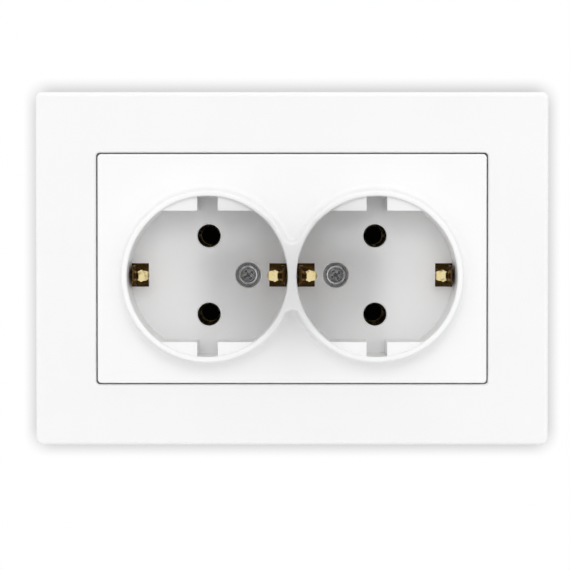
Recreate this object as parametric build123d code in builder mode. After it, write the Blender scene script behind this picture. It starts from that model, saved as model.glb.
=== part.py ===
from build123d import *
import os

# Double wall socket with two side-earth round wells, in millimetres.
# X points right, Z points up and the front faces -Y. The origin is the middle of
# the box-screw pattern in the wall plane. A height h is measured forward from
# that plane, so what stands in the wall box has a negative height.

# Face frame
FRAME_WIDTH = 123.0
FRAME_HEIGHT = 84.7
FRAME_FRONT = 11.5
FRAME_CORNER = 1.4
FRAME_EDGE = 1.0
OPENING_EDGE = 0.3
FRAME_WALL = 2.0
OPENING_WIDTH = 94.0
OPENING_HEIGHT = 55.6
LEDGE_FRONT = 7.6
LEDGE_BACK = 6.0
LEDGE_DEPTH = 2.6
INNER_WALL = 1.6
INNER_BACK = 2.4

# Cover plate and collars
COVER_WIDTH = 93.2
COVER_HEIGHT = 54.9
COVER_CORNER = 0.9
COVER_EDGE = 0.5
COVER_FRONT = 12.3
COVER_FACE = 1.8
SKIRT = 1.6
RIB = 1.2
RIB_DEPTH = 1.9
RIM = 20.9
COLLAR_RADIUS = 20.3
COLLAR_SPREAD = 0.75
COLLAR_DRAFT = 5.0
COLLAR_VALLEY = 1.3
COLLAR_FOOT = 1.1
COLLAR_EDGE = 0.5
MOUTH_EDGE = 0.25

# Wells
WELL_PITCH = 40.2
WELL_Z = -1.7
WELL_RADIUS = 19.1
WELL_DRAFT = 0.6
TUBE_WALL = 1.6
FLOOR_FRONT = 3.4
FLOOR_BACK = 2.0
KEY_FLAT = 15.6
KEY_TOP = 19.4
KEYWAY_WIDTH = 4.9
PIN_PITCH = 19.0
PIN_HOLE = 2.8
WINDOW_START = 14.6
WINDOW_END = 18.9
WINDOW_HEIGHT = 5.7
TAB_END = 19.5
TAB_HEIGHT = 2.95
NOTCH_TOP = 3.6

# Cover screws, which stand beside each well's centre
SCREW_X = 10.6
BOSS_RADIUS = 3.9
BOSS_BACK = 0.2
POCKET_RADIUS = 3.05
POCKET_FLOOR = 1.0
HOLE_EDGE = 0.25

# Support plate and what fastens it
PLATE = 1.0
PLATE_WIDTH = 104.0
PLATE_HEIGHT = 70.0
PLATE_CORNER = 3.0
BOX_SCREW_Z = 30.0
BOX_SLOT = 5.4
BOX_SLOT_RADIUS = 1.8
RIVET_RADIUS = 1.2
UPPER_RIVET = (19.0, 16.0)
LOWER_RIVET = (18.4, -17.4)
RIVET_FLANGE = 5.0

# Insulating base in the wall box
BASE_WIDTH = 54.0
BASE_HEIGHT = 40.0
BASE_RADIUS = 28.3
BASE_BACK = -20.2
REAR_COVER_BACK = -21.7
ISLAND_WIDTH = 81.0
ISLAND_HEIGHT = 27.6
ISLAND_CORNER = 4.0
CHAMBER_RADIUS = 3.9
CHAMBER_FRONT = -0.6
LEAD_IN = 2.6
FIT_GAP = 0.15
NUT_POCKET = 5.6
NUT_POCKET_DEPTH = 1.9
SCREW_HOLE_DEPTH = 7.0
RIVET_RELIEF = 2.1
RIVET_RELIEF_DEPTH = 0.9
REAR_SCREW_X = 21.0
REAR_SCREW = 1.25
REAR_SCREW_TIP = -13.0

# Sheet-metal conductors
SHEET = 0.8
STRIP_FRONT = -16.9
STRIP_WIDTH = 4.0
STRIP_END = 23.0
EYE_RADIUS = 3.7
EYE_HOLE = 2.3
TULIP_MOUTH = -1.4
TULIP_NECK = -5.0
TULIP_WAIST = -9.0
TULIP_WALL = 0.6
TULIP_SLIT = 0.8
SPRING_BACK = -8.5
SPRING_LENGTH = 3.0
SPRING_RADIUS = 3.45
LUG_WIDTH = 6.0
STRAP_END = 38.5
STRAP_HEIGHT = 12.0
LEG_WIDTH = 2.8
LEG_Z = 18.3

# Side-earth clips, measured outward from a well's centre
CLIP_SHEET = 0.7
ARM_REACH = 17.95
ARM_WIDTH = 4.7
ARM_TOP = 12.4
BEND_TOP = 14.4
NOSE_REACH = 14.15
NOSE_HEIGHT = 11.9
NOSE_WIDTH = 2.85
NOSE_BARB = 0.25
NOSE_ROUND = 1.35
NECK_START = 16.6
NECK_WIDTH = 2.2
NECK_HOLE = 1.3

# Wire terminals
TERMINAL_X = 11.0
TERMINAL_Z = 14.6
TERMINAL_SCREW = 1.75
TERMINAL_HEAD = 3.0
TERMINAL_HEAD_BACK = -19.9
TERMINAL_TIP = -9.6
NUT_WIDTH = 8.4
NUT_HEIGHT = 6.0
NUT_THICKNESS = 1.6
NUT_FRONT = -12.6
WIRE_HOLE = 1.3
WIRE_OFFSET = 3.0
WIRE_HEIGHT = -15.6

# Spreading claws, measured outward from the middle
CLAW_PIVOT_Z = 16.5
CLAW_PIVOT_HEIGHT = -5.2
CLAW_WIDTH = 6.8
CLAW_SHEET = 1.2
CLAW_LEVER = -6.1
CLAW_OUT = 26.4
CLAW_TAIL = -17.4
CLAW_FOOT = 1.8
CLAW_BEND = 0.9
CLAW_SLOT = 4.4
TOOTH_NOTCH = 1.5
CLAW_EYE = 2.1
CHEEK = 0.8
CLAW_PIN = 1.0
CLAW_POCKET = 7.6
POCKET_START = 13.8
PIN_REACH = 5.4
CLAW_SCREW_Z = 22.5
CLAW_SCREW = 1.5
CLAW_SCREW_TIP = -14.0
COVER_SCREW = 1.5
COVER_SCREW_TIP = -6.0

WELLS = [(-WELL_PITCH / 2, WELL_Z), (WELL_PITCH / 2, WELL_Z)]
SCREWS = [(-SCREW_X, WELL_Z), (SCREW_X, WELL_Z)]
LIVE_Z = WELL_Z + PIN_PITCH / 2
NEUTRAL_Z = WELL_Z - PIN_PITCH / 2
PINS = [(x, z) for x in (-WELL_PITCH / 2, WELL_PITCH / 2) for z in (LIVE_Z, NEUTRAL_Z)]
RIVETS = [(side * x, z) for x, z in (UPPER_RIVET, LOWER_RIVET) for side in (-1, 1)]
POCKET_MIDDLE = (POCKET_START + BASE_HEIGHT / 2) / 2
POCKET_LENGTH = BASE_HEIGHT / 2 - POCKET_START
REAR_SCREWS = [(-REAR_SCREW_X, WELL_Z), (REAR_SCREW_X, WELL_Z)]
STRIP_BACK = STRIP_FRONT - SHEET
CENTRE_BACK = PLATE + SHEET
TERMINALS = {
    "live": (-TERMINAL_X, TERMINAL_Z),
    "earth": (TERMINAL_X, TERMINAL_Z),
    "neutral": (-TERMINAL_X, -TERMINAL_Z),
}


def front(height):
    """The plan at a height, with X to the right and Z up."""
    return Plane.XZ.offset(height)


def save(part, name):
    part.label = name
    export_step(part, f"parts/{name}.step")


def foremost(part):
    """The edges that lie furthest forward."""
    return part.edges().group_by(Axis.Y)[0]


os.makedirs("parts", exist_ok=True)

# Face frame: a hollow rectangle with a ledge that the cover holds down
with BuildPart() as cover_frame:
    with BuildSketch(front(0)):
        RectangleRounded(FRAME_WIDTH, FRAME_HEIGHT, FRAME_CORNER)
    extrude(amount=FRAME_FRONT)
    fillet(foremost(cover_frame), FRAME_EDGE)
    with BuildSketch(front(0)):
        Rectangle(FRAME_WIDTH - 2 * FRAME_WALL, FRAME_HEIGHT - 2 * FRAME_WALL)
        Rectangle(OPENING_WIDTH + 2 * INNER_WALL, OPENING_HEIGHT + 2 * INNER_WALL, mode=Mode.SUBTRACT)
    extrude(amount=FRAME_FRONT - FRAME_WALL, mode=Mode.SUBTRACT)
    with BuildSketch(front(0)):
        Rectangle(OPENING_WIDTH + 2 * INNER_WALL, OPENING_HEIGHT + 2 * INNER_WALL)
    extrude(amount=INNER_BACK, mode=Mode.SUBTRACT)
    with BuildSketch(front(INNER_BACK)):
        Rectangle(OPENING_WIDTH, OPENING_HEIGHT)
    extrude(amount=LEDGE_BACK - INNER_BACK, mode=Mode.SUBTRACT)
    with BuildSketch(front(LEDGE_BACK)):
        Rectangle(OPENING_WIDTH - 2 * LEDGE_DEPTH, OPENING_HEIGHT - 2 * LEDGE_DEPTH)
    extrude(amount=LEDGE_FRONT - LEDGE_BACK, mode=Mode.SUBTRACT)
    with BuildSketch(front(LEDGE_FRONT)):
        RectangleRounded(OPENING_WIDTH, OPENING_HEIGHT, COVER_CORNER)
    extrude(amount=FRAME_FRONT - LEDGE_FRONT, mode=Mode.SUBTRACT)
    chamfer(cover_frame.faces().sort_by(Axis.Y)[0].inner_wires().edges(), OPENING_EDGE)
save(cover_frame.part, "cover_frame")

# Cover: plate, skirt, two collars, two wells with keys, windows and screw pockets
with BuildPart() as socket_cover:
    with BuildSketch(front(LEDGE_FRONT)):
        RectangleRounded(COVER_WIDTH, COVER_HEIGHT, COVER_CORNER)
    extrude(amount=COVER_FRONT - LEDGE_FRONT)
    fillet(foremost(socket_cover), COVER_EDGE)
    with BuildSketch(front(LEDGE_FRONT)):
        Rectangle(COVER_WIDTH - 2 * SKIRT, COVER_HEIGHT - 2 * SKIRT)
    extrude(amount=COVER_FRONT - COVER_FACE - LEDGE_FRONT, mode=Mode.SUBTRACT)
    with BuildSketch(front(COVER_FRONT)) as collar_outline:
        with Locations(*WELLS):
            Circle(COLLAR_RADIUS + COLLAR_SPREAD)
        fillet(collar_outline.vertices(), COLLAR_VALLEY)
    extrude(amount=RIM - COVER_FRONT, taper=COLLAR_DRAFT)
    collar_foot = (
        socket_cover.edges()
        .filter_by_position(Axis.Y, -COVER_FRONT - 0.01, -COVER_FRONT + 0.01)
        .filter_by(GeomType.CIRCLE)
        .filter_by(lambda edge: edge.radius > COLLAR_VALLEY - 1)
    )
    fillet(collar_foot, COLLAR_FOOT)
    fillet(foremost(socket_cover), COLLAR_EDGE)
    with BuildSketch(front(FLOOR_BACK)):
        with Locations(*WELLS):
            Circle(WELL_RADIUS + TUBE_WALL)
    extrude(amount=COVER_FRONT - FLOOR_BACK - 0.5)
    with BuildSketch(front(BOSS_BACK)):
        with Locations(*SCREWS):
            Circle(BOSS_RADIUS)
    extrude(amount=FLOOR_FRONT - BOSS_BACK)
    with BuildSketch(front(COVER_FRONT - COVER_FACE)):
        with Locations(*[(x, 0) for x, _ in WELLS]):
            Rectangle(RIB, COVER_HEIGHT - SKIRT)
        with Locations((0, WELL_Z)):
            Rectangle(COVER_WIDTH - SKIRT, RIB)
    extrude(amount=-RIB_DEPTH)
    with BuildSketch(front(RIM)):
        with Locations(*WELLS):
            Circle(WELL_RADIUS)
    extrude(amount=FLOOR_FRONT - RIM, taper=WELL_DRAFT, mode=Mode.SUBTRACT)
    with BuildSketch(front(FLOOR_FRONT)):
        with Locations(*WELLS):
            Circle(WELL_RADIUS + 0.3)
            Rectangle(2 * WELL_RADIUS + 2, 2 * KEY_FLAT, mode=Mode.SUBTRACT)
            Rectangle(KEYWAY_WIDTH, 2 * WELL_RADIUS + 2, mode=Mode.SUBTRACT)
    extrude(amount=KEY_TOP - FLOOR_FRONT)
    with BuildSketch(front(RIM)):
        with Locations(*WELLS):
            Circle(WELL_RADIUS + MOUTH_EDGE)
    extrude(amount=-MOUTH_EDGE, taper=45, mode=Mode.SUBTRACT)
    # Screw pockets and pin holes
    with BuildSketch(front(POCKET_FLOOR)):
        with Locations(*SCREWS):
            Circle(POCKET_RADIUS)
    extrude(amount=FLOOR_FRONT - POCKET_FLOOR, mode=Mode.SUBTRACT)
    with BuildSketch(front(BOSS_BACK)):
        with Locations(*SCREWS):
            Circle(COVER_SCREW + FIT_GAP)
    extrude(amount=POCKET_FLOOR - BOSS_BACK, mode=Mode.SUBTRACT)
    with BuildSketch(front(FLOOR_BACK)):
        with Locations(*PINS):
            Circle(PIN_HOLE)
    extrude(amount=FLOOR_FRONT - FLOOR_BACK, mode=Mode.SUBTRACT)
    hole_edges = (
        socket_cover.edges()
        .filter_by(GeomType.CIRCLE)
        .filter_by_position(Axis.Y, -FLOOR_FRONT - 0.01, -FLOOR_FRONT + 0.01)
        .filter_by(lambda edge: edge.radius < BOSS_RADIUS)
    )
    chamfer(hole_edges, HOLE_EDGE)
    # Clip windows beside the walls, with a tab into the wall behind each clip
    with BuildSketch(front(FLOOR_BACK)):
        for well_x, _ in WELLS:
            for side in (-1, 1):
                with Locations((well_x + side * (WINDOW_START + WINDOW_END) / 2, WELL_Z)):
                    Rectangle(WINDOW_END - WINDOW_START, WINDOW_HEIGHT)
                with Locations((well_x + side * (WINDOW_START + TAB_END) / 2, WELL_Z)):
                    Rectangle(TAB_END - WINDOW_START, TAB_HEIGHT)
    extrude(amount=FLOOR_FRONT + 0.4 - FLOOR_BACK, mode=Mode.SUBTRACT)
    with BuildSketch(front(FLOOR_BACK)):
        with Locations((0, WELL_Z)):
            Rectangle(4.0, ARM_WIDTH + 0.5)
    extrude(amount=NOTCH_TOP + 0.2 - FLOOR_BACK, mode=Mode.SUBTRACT)
save(socket_cover.part, "socket_cover")

# Support plate: a flat sheet that the box screws hold to the wall
with BuildPart() as support_plate:
    with BuildSketch(front(0)):
        RectangleRounded(PLATE_WIDTH, PLATE_HEIGHT, PLATE_CORNER)
        with Locations((0, WELL_Z)):
            RectangleRounded(
                ISLAND_WIDTH + 2 * FIT_GAP,
                ISLAND_HEIGHT + 2 * FIT_GAP,
                ISLAND_CORNER,
                mode=Mode.SUBTRACT,
            )
        with Locations((0, BOX_SCREW_Z), (0, -BOX_SCREW_Z)):
            SlotOverall(BOX_SLOT, 2 * BOX_SLOT_RADIUS, rotation=90, mode=Mode.SUBTRACT)
        with Locations((0, CLAW_SCREW_Z), (0, -CLAW_SCREW_Z)):
            Circle(CLAW_SCREW + 0.1, mode=Mode.SUBTRACT)
        with Locations(*RIVETS):
            Circle(RIVET_RADIUS, mode=Mode.SUBTRACT)
        with Locations((TERMINAL_X, LEG_Z)):
            Rectangle(LEG_WIDTH + 0.8, SHEET + 0.8, mode=Mode.SUBTRACT)
    extrude(amount=PLATE)
save(support_plate.part, "support_plate")

# Insulating base: a moulding with chambers for the contacts, terminals and claws
with BuildPart() as base:
    with BuildSketch(front(BASE_BACK)):
        Rectangle(BASE_WIDTH, BASE_HEIGHT)
        Circle(BASE_RADIUS, mode=Mode.INTERSECT)
    extrude(amount=-BASE_BACK)
    with BuildSketch(front(0)):
        with Locations((0, WELL_Z)):
            RectangleRounded(ISLAND_WIDTH, ISLAND_HEIGHT, ISLAND_CORNER)
    extrude(amount=PLATE)
    # Contact chambers from the back, each with a lead-in hole from the front
    with BuildSketch(front(BASE_BACK)):
        with Locations(*PINS):
            Circle(CHAMBER_RADIUS)
    extrude(amount=CHAMBER_FRONT - BASE_BACK, mode=Mode.SUBTRACT)
    with BuildSketch(front(PLATE)):
        with Locations(*PINS):
            Circle(LEAD_IN)
    extrude(amount=CHAMBER_FRONT - PLATE, mode=Mode.SUBTRACT)
    # Channels for the busbars, their lugs and the earth leg
    with BuildSketch(front(BASE_BACK)):
        with Locations((0, LIVE_Z), (0, NEUTRAL_Z)):
            Rectangle(2 * STRIP_END + 0.4, STRIP_WIDTH + 0.4)
        with Locations((-TERMINAL_X, (LIVE_Z + TERMINAL_Z) / 2)):
            Rectangle(LUG_WIDTH + 0.4, TERMINAL_Z - LIVE_Z)
        with Locations((-TERMINAL_X, (NEUTRAL_Z - TERMINAL_Z) / 2)):
            Rectangle(LUG_WIDTH + 0.4, TERMINAL_Z + NEUTRAL_Z)
    extrude(amount=STRIP_FRONT - BASE_BACK, mode=Mode.SUBTRACT)
    with BuildSketch(front(BASE_BACK)):
        with Locations((TERMINAL_X, LEG_Z)):
            Rectangle(LEG_WIDTH + 0.4, SHEET + 0.5)
    extrude(amount=-BASE_BACK, mode=Mode.SUBTRACT)
    # Terminal pockets with two wire holes each
    with BuildSketch(front(BASE_BACK)):
        with Locations(*TERMINALS.values()):
            Rectangle(NUT_WIDTH + 0.4, NUT_HEIGHT + 0.4)
    extrude(amount=TERMINAL_TIP + 0.6 - BASE_BACK, mode=Mode.SUBTRACT)
    for terminal_x, terminal_z in TERMINALS.values():
        outward = 1 if terminal_z > 0 else -1
        with BuildSketch(Plane.XY.offset(outward * BASE_HEIGHT / 2)):
            with Locations(
                (terminal_x - WIRE_OFFSET, -WIRE_HEIGHT),
                (terminal_x + WIRE_OFFSET, -WIRE_HEIGHT),
            ):
                Circle(WIRE_HOLE)
        extrude(amount=-outward * (BASE_HEIGHT / 2 - TERMINAL_Z), mode=Mode.SUBTRACT)
    # Claw pockets with a slot for each pivot pin
    with BuildSketch(front(BASE_BACK)):
        for side in (-1, 1):
            with Locations((0, side * POCKET_MIDDLE)):
                Rectangle(CLAW_POCKET, POCKET_LENGTH)
    extrude(amount=-BASE_BACK, mode=Mode.SUBTRACT)
    with BuildSketch(Plane.YZ):
        with Locations((-CLAW_PIVOT_HEIGHT, CLAW_PIVOT_Z), (-CLAW_PIVOT_HEIGHT, -CLAW_PIVOT_Z)):
            Circle(CLAW_PIN)
    extrude(amount=PIN_REACH, both=True, mode=Mode.SUBTRACT)
    # Rivet holes, screw holes and captive nuts
    with BuildSketch(front(BASE_BACK)):
        with Locations(*RIVETS):
            Circle(RIVET_RADIUS + 1.0)
    extrude(amount=-RIVET_FLANGE - BASE_BACK, mode=Mode.SUBTRACT)
    with BuildSketch(front(-RIVET_FLANGE)):
        with Locations(*RIVETS):
            Circle(RIVET_RADIUS)
    extrude(amount=RIVET_FLANGE, mode=Mode.SUBTRACT)
    with BuildSketch(front(BOSS_BACK - 0.2)):
        with Locations(*SCREWS):
            Circle(BOSS_RADIUS + 0.2)
    extrude(amount=PLATE, mode=Mode.SUBTRACT)
    with BuildSketch(front(-NUT_POCKET_DEPTH)):
        with Locations(*SCREWS):
            Rectangle(NUT_POCKET, NUT_POCKET)
    extrude(amount=NUT_POCKET_DEPTH, mode=Mode.SUBTRACT)
    with BuildSketch(front(-SCREW_HOLE_DEPTH)):
        with Locations(*SCREWS):
            Circle(COVER_SCREW + 0.2)
    extrude(amount=SCREW_HOLE_DEPTH, mode=Mode.SUBTRACT)
    with BuildSketch(front(PLATE - RIVET_RELIEF_DEPTH)):
        with Locations((0, WELL_Z)):
            Circle(RIVET_RELIEF)
    extrude(amount=RIVET_RELIEF_DEPTH, mode=Mode.SUBTRACT)
    with BuildSketch(front(BASE_BACK)):
        with Locations(*REAR_SCREWS):
            Circle(REAR_SCREW)
    extrude(amount=REAR_SCREW_TIP + 0.8 - BASE_BACK, mode=Mode.SUBTRACT)
save(base.part, "base")

# Rear cover, with holes that let a screwdriver reach the terminals
with BuildPart() as rear_cover:
    with BuildSketch(front(REAR_COVER_BACK)):
        Rectangle(BASE_WIDTH, BASE_HEIGHT)
        Circle(BASE_RADIUS, mode=Mode.INTERSECT)
        with Locations(*TERMINALS.values()):
            Circle(TERMINAL_HEAD - 0.3, mode=Mode.SUBTRACT)
        with Locations(*REAR_SCREWS):
            Circle(REAR_SCREW + FIT_GAP, mode=Mode.SUBTRACT)
        for side in (-1, 1):
            with Locations((0, side * POCKET_MIDDLE)):
                Rectangle(CLAW_POCKET, POCKET_LENGTH, mode=Mode.SUBTRACT)
    extrude(amount=BASE_BACK - REAR_COVER_BACK)
save(rear_cover.part, "rear_cover")


def make_busbar(name, strip_z, lug_z):
    """A strip with a lug for its terminal and two slit tulip contacts."""
    with BuildPart() as busbar:
        with BuildSketch(front(STRIP_BACK)):
            with Locations((0, strip_z)):
                Rectangle(2 * STRIP_END, STRIP_WIDTH)
            with Locations(*[(x, strip_z) for x, _ in WELLS]):
                Circle(EYE_RADIUS)
                Circle(EYE_HOLE, mode=Mode.SUBTRACT)
            outward = 1 if lug_z > 0 else -1
            lug_end = lug_z + outward * NUT_HEIGHT / 2
            with Locations((-TERMINAL_X, (strip_z + lug_end) / 2)):
                Rectangle(LUG_WIDTH, abs(lug_end - strip_z))
            with Locations((-TERMINAL_X, lug_z)):
                Circle(TERMINAL_SCREW + 0.15, mode=Mode.SUBTRACT)
        extrude(amount=SHEET)
        for well_x, _ in WELLS:
            inside = [
                (-STRIP_FRONT + 0.2, strip_z + 2.45),
                (-TULIP_WAIST, strip_z + 2.25),
                (-TULIP_NECK, strip_z + 2.15),
                (-TULIP_MOUTH, strip_z + 2.75),
            ]
            outside = [(y, z + TULIP_WALL) for y, z in reversed(inside)]
            with BuildSketch(Plane.YZ.offset(well_x)):
                with BuildLine():
                    Polyline(*inside, *outside, close=True)
                make_face()
            tulip_axis = Axis((well_x, 0, strip_z), (0, 1, 0))
            revolve(axis=tulip_axis)
            with BuildSketch(front(STRIP_FRONT + 4)):
                with Locations((well_x, strip_z)):
                    Rectangle(2 * EYE_RADIUS, TULIP_SLIT)
                    Rectangle(TULIP_SLIT, 2 * EYE_RADIUS)
            extrude(amount=TULIP_MOUTH - STRIP_FRONT, mode=Mode.SUBTRACT)
    save(busbar.part, name)


make_busbar("live_busbar", LIVE_Z, TERMINAL_Z)
make_busbar("neutral_busbar", NEUTRAL_Z, -TERMINAL_Z)


def make_contact_spring(name, x, z):
    """A split steel ring that squeezes one tulip contact."""
    with BuildPart() as spring:
        with BuildSketch(front(SPRING_BACK)):
            with Locations((x, z)):
                Circle(SPRING_RADIUS)
                Circle(SPRING_RADIUS - 0.55, mode=Mode.SUBTRACT)
            with Locations((x, z + SPRING_RADIUS)):
                Rectangle(1.0, 2.0, mode=Mode.SUBTRACT)
        extrude(amount=SPRING_LENGTH)
    save(spring.part, name)


for row, pin_z in (("live", LIVE_Z), ("neutral", NEUTRAL_Z)):
    for place, (well_x, _) in zip(("left", "right"), WELLS):
        make_contact_spring(f"{row}_spring_{place}", well_x, pin_z)


def make_clip_arm(well_x, side, foot):
    """One earth clip: a wide arm that bends over to a narrow nose with a slot behind it.

    side is +1 where the clip stands right of the well's centre.
    """

    def reach(distance):
        """The X of a point at a distance from the well's centre."""
        return well_x + side * distance

    tip = NOSE_REACH - CLIP_SHEET / 2
    back = ARM_REACH + 0.5
    nose = NOSE_WIDTH - 2 * NOSE_BARB
    outline = [
        (tip + NOSE_ROUND, nose),
        (tip + 1.8, nose + 0.1),
        (tip + 2.1, NOSE_WIDTH),
        (tip + 2.35, NOSE_WIDTH),
        (tip + 2.55, nose),
        (NECK_START, nose),
        (NECK_START + 0.2, NECK_WIDTH),
        (ARM_REACH - 0.7, NECK_WIDTH),
        (ARM_REACH - 0.2, NECK_WIDTH + 0.6),
        (back, ARM_WIDTH),
    ]
    lower = [(reach(distance), WELL_Z - width / 2) for distance, width in outline]
    upper = [(reach(distance), WELL_Z + width / 2) for distance, width in reversed(outline)]
    with BuildPart() as arm:
        # The bent strip, cut to its outline as seen from the front
        with BuildSketch(Plane.XY.offset(WELL_Z)):
            with BuildLine():
                FilletPolyline(
                    (reach(ARM_REACH), 0.1 - ARM_TOP),
                    (reach(ARM_REACH), -BEND_TOP),
                    (reach(NOSE_REACH), -NOSE_HEIGHT),
                    (reach(NOSE_REACH + 2.2), 4.6 - NOSE_HEIGHT),
                    radius=0.9,
                )
            trace(line_width=CLIP_SHEET)
        extrude(amount=ARM_WIDTH / 2, both=True)
        with BuildSketch(front(0)):
            with BuildLine():
                Polyline(*lower, *upper)
                ThreePointArc(upper[-1], (reach(tip + 0.25), WELL_Z), lower[0])
            make_face()
        extrude(amount=BEND_TOP + 2, mode=Mode.INTERSECT)
        with BuildSketch(front(NOSE_HEIGHT)):
            with Locations((reach(NECK_START + 0.6), WELL_Z)):
                Rectangle(1.2, NECK_HOLE)
        extrude(amount=BEND_TOP, mode=Mode.SUBTRACT)
        # The straight part, at its full width
        with BuildSketch(front(foot)):
            with Locations((reach(ARM_REACH), WELL_Z)):
                Rectangle(CLIP_SHEET, ARM_WIDTH)
        extrude(amount=ARM_TOP - foot)
    return arm.part


# Earth strap: one folded sheet that joins the outer clips to the earth terminal
with BuildPart() as earth_strap:
    with BuildSketch(front(PLATE)):
        with Locations((0, WELL_Z)):
            Rectangle(2 * STRAP_END, STRAP_HEIGHT)
        with Locations((TERMINAL_X, (WELL_Z + LEG_Z) / 2)):
            Rectangle(LEG_WIDTH, LEG_Z - WELL_Z + SHEET)
        with Locations(*SCREWS):
            Circle(BOSS_RADIUS + 0.2, mode=Mode.SUBTRACT)
        with Locations((0, WELL_Z)):
            Circle(RIVET_RADIUS, mode=Mode.SUBTRACT)
    extrude(amount=SHEET)
    with BuildSketch(front(STRIP_BACK)):
        with Locations((TERMINAL_X, LEG_Z)):
            Rectangle(LEG_WIDTH, SHEET)
    extrude(amount=PLATE + SHEET - STRIP_BACK)
    with BuildSketch(front(STRIP_BACK)):
        with Locations((TERMINAL_X, LEG_Z + SHEET / 2)):
            Rectangle(LEG_WIDTH, 2.0, align=(Align.CENTER, Align.MAX))
        with Locations((TERMINAL_X, TERMINAL_Z)):
            Rectangle(LUG_WIDTH, NUT_HEIGHT)
            Circle(TERMINAL_SCREW + 0.15, mode=Mode.SUBTRACT)
    extrude(amount=SHEET)
    add(make_clip_arm(-WELL_PITCH / 2, -1, PLATE))
    add(make_clip_arm(WELL_PITCH / 2, 1, PLATE))
save(earth_strap.part, "earth_strap")

# Centre clip: a folded sheet whose two arms stand either side of the dividing wall
with BuildPart() as earth_centre_clip:
    with BuildSketch(front(CENTRE_BACK)):
        with Locations((0, WELL_Z)):
            Rectangle(WELL_PITCH - 2 * ARM_REACH + CLIP_SHEET, ARM_WIDTH)
            Circle(RIVET_RADIUS, mode=Mode.SUBTRACT)
    extrude(amount=CLIP_SHEET)
    add(make_clip_arm(-WELL_PITCH / 2, 1, CENTRE_BACK))
    add(make_clip_arm(WELL_PITCH / 2, -1, CENTRE_BACK))
save(earth_centre_clip.part, "earth_centre_clip")


def make_rivet(name, x, z, rear, clamped, head_radius):
    """A shank with a flat head at each end, through everything that it clamps."""
    with BuildPart() as rivet:
        with BuildSketch(front(rear - 0.7)):
            with Locations((x, z)):
                Circle(head_radius)
        extrude(amount=0.7)
        with BuildSketch(front(rear)):
            with Locations((x, z)):
                Circle(RIVET_RADIUS)
        extrude(amount=clamped)
        with BuildSketch(front(rear + clamped)):
            with Locations((x, z)):
                Circle(head_radius - 0.3)
        extrude(amount=0.6)
        chamfer(foremost(rivet), 0.25)
    save(rivet.part, name)


make_rivet("earth_rivet", 0, WELL_Z, PLATE, SHEET + CLIP_SHEET, 1.9)
for name, (x, z) in zip(("upper_left", "upper_right", "lower_left", "lower_right"), RIVETS):
    make_rivet(f"plate_rivet_{name}", x, z, -RIVET_FLANGE, RIVET_FLANGE + PLATE, 2.0)


def make_screw(name, x, z, under_head, head, head_radius, radius, tip, cross):
    """A screw whose head stands head millimetres beyond under_head, away from its tip."""
    way = 1 if under_head > tip else -1
    with BuildPart() as screw:
        with BuildSketch(front(under_head)):
            with Locations((x, z)):
                Circle(head_radius)
        extrude(amount=way * head)
        crown = screw.edges().sort_by(Axis.Y)[0 if way > 0 else -1]
        chamfer(crown, 0.4)
        with BuildSketch(front(tip)):
            with Locations((x, z)):
                Circle(radius)
        extrude(amount=way * abs(under_head - tip))
        point = screw.edges().sort_by(Axis.Y)[-1 if way > 0 else 0]
        chamfer(point, 0.4)
        with BuildSketch(front(under_head + way * head)):
            with Locations((x, z)):
                Rectangle(1.4 * head_radius, 0.7)
                if cross:
                    Rectangle(0.7, 1.4 * head_radius)
        extrude(amount=-way * head * 0.55, mode=Mode.SUBTRACT)
    save(screw.part, name)


def make_nut(name, x, z, nut_front, width, height, thickness, hole):
    """A square nut with a plain hole."""
    with BuildPart() as nut:
        with BuildSketch(front(nut_front - thickness)):
            with Locations((x, z)):
                Rectangle(width, height)
                Circle(hole, mode=Mode.SUBTRACT)
        extrude(amount=thickness)
        chamfer(nut.edges().filter_by(Axis.Y), 0.4)
    save(nut.part, name)


for place, (x, z) in zip(("left", "right"), SCREWS):
    make_screw(f"cover_screw_{place}", x, z, POCKET_FLOOR, 1.7, 2.45, COVER_SCREW, COVER_SCREW_TIP, True)
    make_nut(f"cover_nut_{place}", x, z, 0.0, 5.4, 5.4, 1.8, COVER_SCREW)

for place, (x, z) in zip(("left", "right"), REAR_SCREWS):
    name = f"rear_cover_screw_{place}"
    make_screw(name, x, z, REAR_COVER_BACK, 1.3, 2.2, REAR_SCREW, REAR_SCREW_TIP, True)

head = STRIP_BACK - TERMINAL_HEAD_BACK
for name, (x, z) in TERMINALS.items():
    make_screw(
        f"terminal_screw_{name}", x, z, STRIP_BACK, head, TERMINAL_HEAD, TERMINAL_SCREW, TERMINAL_TIP, False
    )
    make_nut(
        f"clamp_nut_{name}", x, z, NUT_FRONT, NUT_WIDTH, NUT_HEIGHT, NUT_THICKNESS, TERMINAL_SCREW + 0.06
    )


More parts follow.
